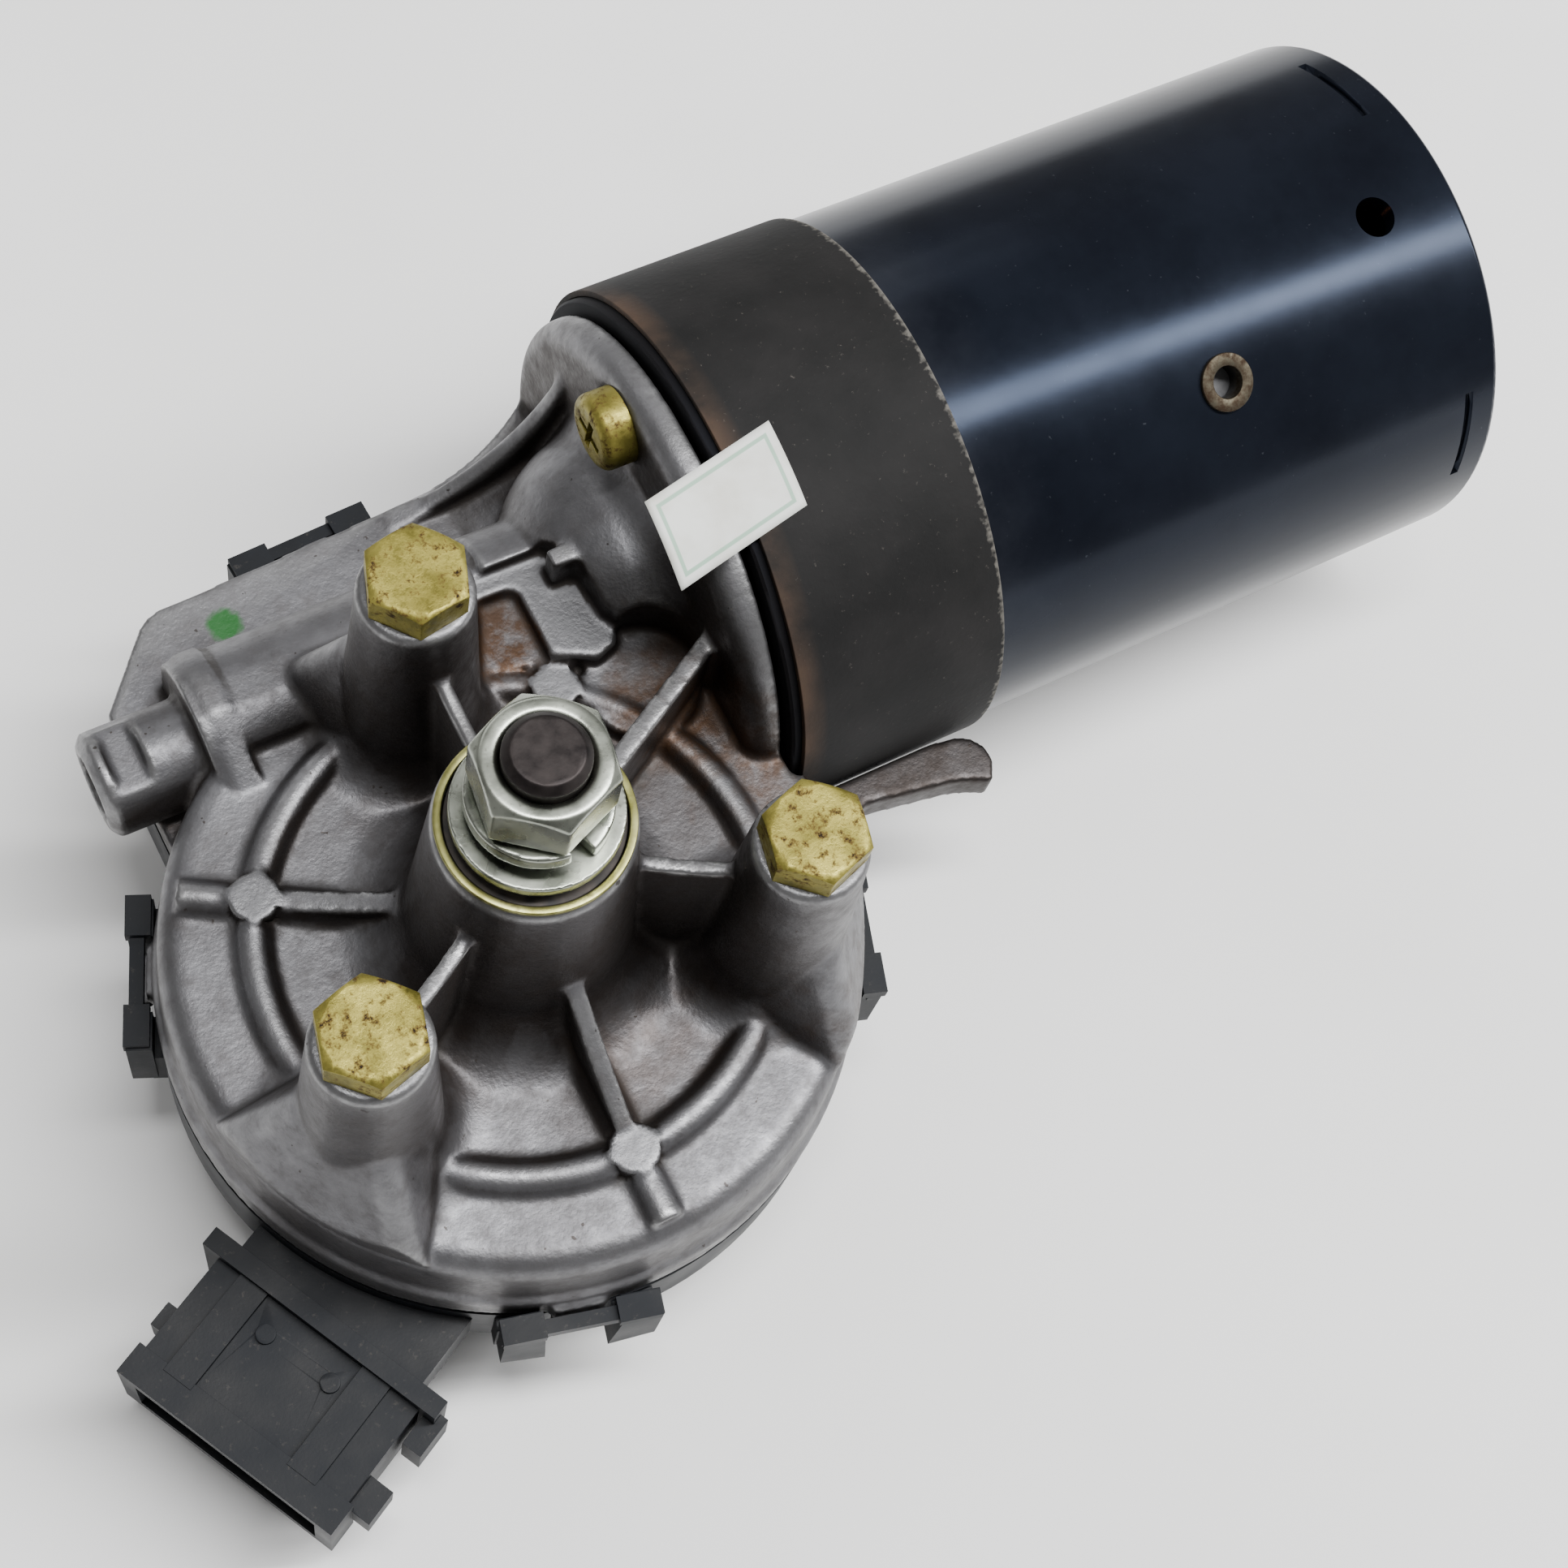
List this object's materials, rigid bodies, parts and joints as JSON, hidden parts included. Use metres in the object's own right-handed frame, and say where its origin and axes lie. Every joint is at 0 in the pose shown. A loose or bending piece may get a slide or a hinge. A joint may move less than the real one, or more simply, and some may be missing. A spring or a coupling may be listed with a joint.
{
  "type": "windscreen wiper motor",
  "caption": "Wiper drive: a long round motor turning a worm gearbox in a ribbed alloy housing, with threaded output shaft, mounting posts, clipped rear cover and plug socket.",
  "frame": {"origin": "on the output shaft's axis, level with the tops of the three mounting posts", "axes": "+Z along the output shaft towards its nut, +X along the motor towards its closed end, +Y from the output shaft towards the motor's axis"},
  "size_m": [0.1929, 0.1172, 0.0879],
  "materials": {
    "cast_aluminium": "as cast, lightly stained",
    "turned_steel": "turned",
    "zinc_plate": "zinc plated",
    "yellow_chromate": "yellow chromate, spotted",
    "black_enamel": "gloss black enamel",
    "black_band": "matt, dusty",
    "seal_rubber": "matt",
    "cover_plastic": "moulded",
    "gear_plastic": "moulded",
    "sintered_bronze": "sintered, oiled",
    "steel_sheet": "pressed",
    "core_steel": "stacked sheets",
    "winding_copper": "enamelled wire",
    "ferrite": "sintered",
    "board_plastic": "pressed board",
    "carbon": "pressed",
    "contact_brass": "rolled",
    "label_paper": "matt"
  },
  "bodies": {
    "housing": {"gear_housing": "cast_aluminium", "shaft_seal": "seal_rubber", "seal_ring": "yellow_chromate", "upper_bush": "sintered_bronze", "lower_bush": "sintered_bronze", "mounting_bolts": "yellow_chromate", "motor_can": "black_enamel", "can_bush": "zinc_plate", "can_sleeve": "black_band", "thrust_washer": "steel_sheet", "thrust_plug": "sintered_bronze", "thrust_pad": "gear_plastic", "worm_bush": "sintered_bronze", "bearing_outer_ring": "turned_steel", "bearing_retainer": "steel_sheet", "field_magnets": "ferrite", "magnet_clips": "steel_sheet", "end_plate": "steel_sheet", "rear_bush": "sintered_bronze", "brush_board": "board_plastic", "brush_holders": "contact_brass", "spring_common": "steel_sheet", "spring_low_speed": "steel_sheet", "spring_high_speed": "steel_sheet", "flange_screws": "yellow_chromate", "rear_cover": "cover_plastic", "cover_gasket": "seal_rubber", "connector_pins": "zinc_plate", "contact_board": "board_plastic", "contact_fingers": "contact_brass", "paper_label": "label_paper"},
    "armature": {"armature_shaft": "turned_steel", "bearing_inner_ring": "turned_steel", "lamination_core": "core_steel", "armature_windings": "winding_copper", "commutator_core": "board_plastic", "commutator_bars": "winding_copper"},
    "output": {"output_shaft": "turned_steel", "worm_wheel": "gear_plastic", "wheel_hub": "turned_steel", "contact_disc": "contact_brass", "output_washer": "zinc_plate", "lock_washer": "zinc_plate", "shaft_nut": "zinc_plate", "shaft_clip": "steel_sheet"},
    "ball_set": {"bearing_balls": "turned_steel", "bearing_cage": "steel_sheet"},
    "common_brush": {"brush_common": "carbon"},
    "low_speed_brush": {"brush_low_speed": "carbon"},
    "high_speed_brush": {"brush_high_speed": "carbon"}
  },
  "joints": [
    {"name": "armature_spin", "type": "hinge", "parent": "housing", "child": "armature", "pos_m": [0, 0.036, -0.0375], "axis": [1, 0, 0], "continuous": true},
    {"name": "output_spin", "type": "hinge", "parent": "housing", "child": "output", "pos_m": [0, 0, 0], "axis": [0, 0, 1], "continuous": true},
    {"name": "ball_set_spin", "type": "hinge", "parent": "housing", "child": "ball_set", "pos_m": [0, 0.036, -0.0375], "axis": [1, 0, 0], "continuous": true},
    {"name": "common_brush_slide", "type": "slide", "parent": "housing", "child": "common_brush", "axis": [0, 0, 1], "range_m": [0, 0.001], "stiffness_N_per_m": 10, "springref_m": -0.005, "deforming": ["spring_common"]},
    {"name": "low_speed_brush_slide", "type": "slide", "parent": "housing", "child": "low_speed_brush", "axis": [0, 0, -1], "range_m": [0, 0.001], "stiffness_N_per_m": 10, "springref_m": -0.005, "deforming": ["spring_low_speed"]},
    {"name": "high_speed_brush_slide", "type": "slide", "parent": "housing", "child": "high_speed_brush", "axis": [0, 0.866, 0.5], "range_m": [0, 0.001], "stiffness_N_per_m": 10, "springref_m": -0.005}
  ],
  "couplings": [
    {"joint": "output_spin", "follows": "armature_spin", "ratio": 0.017857},
    {"joint": "ball_set_spin", "follows": "armature_spin", "ratio": 0.397}
  ]
}
